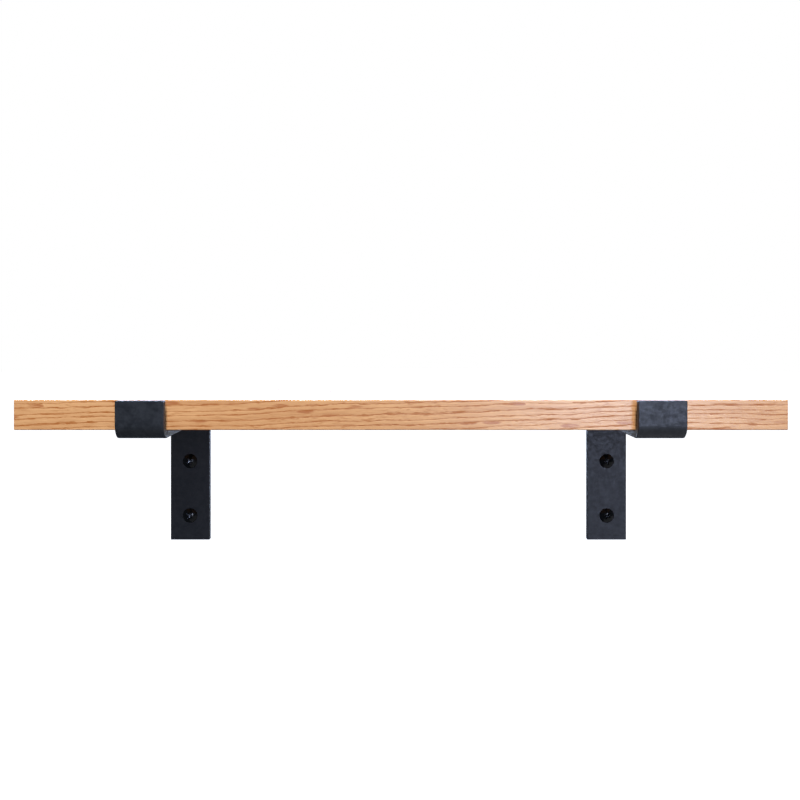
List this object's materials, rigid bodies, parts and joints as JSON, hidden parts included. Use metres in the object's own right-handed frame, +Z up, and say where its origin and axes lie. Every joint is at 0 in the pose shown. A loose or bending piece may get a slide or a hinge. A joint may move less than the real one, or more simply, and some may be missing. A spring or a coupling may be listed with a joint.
{
  "type": "wall shelf",
  "caption": "Straight oak wall shelf on black brackets bent from flat bar, each with a lip in front of the board, an arm below it and a plate screwed to the wall.",
  "frame": {"origin": "on the wall plane, at the centre of the four wall screws", "axes": "+X to the right as seen from the front and along the board, +Y into the wall, so that the front faces -Y, +Z up"},
  "size_m": [0.6096, 0.2394, 0.1508],
  "materials": {
    "oak": "satin",
    "powder_coat": "matte, fine texture",
    "black_screw": "satin"
  },
  "bodies": {
    "root": {"shelf_board": "oak", "left_bracket": "powder_coat", "right_bracket": "powder_coat", "left_upper_wall_screw": "black_screw", "left_lower_wall_screw": "black_screw", "right_upper_wall_screw": "black_screw", "right_lower_wall_screw": "black_screw", "left_front_board_screw": "black_screw", "left_rear_board_screw": "black_screw", "right_front_board_screw": "black_screw", "right_rear_board_screw": "black_screw"}
  },
  "joints": []
}
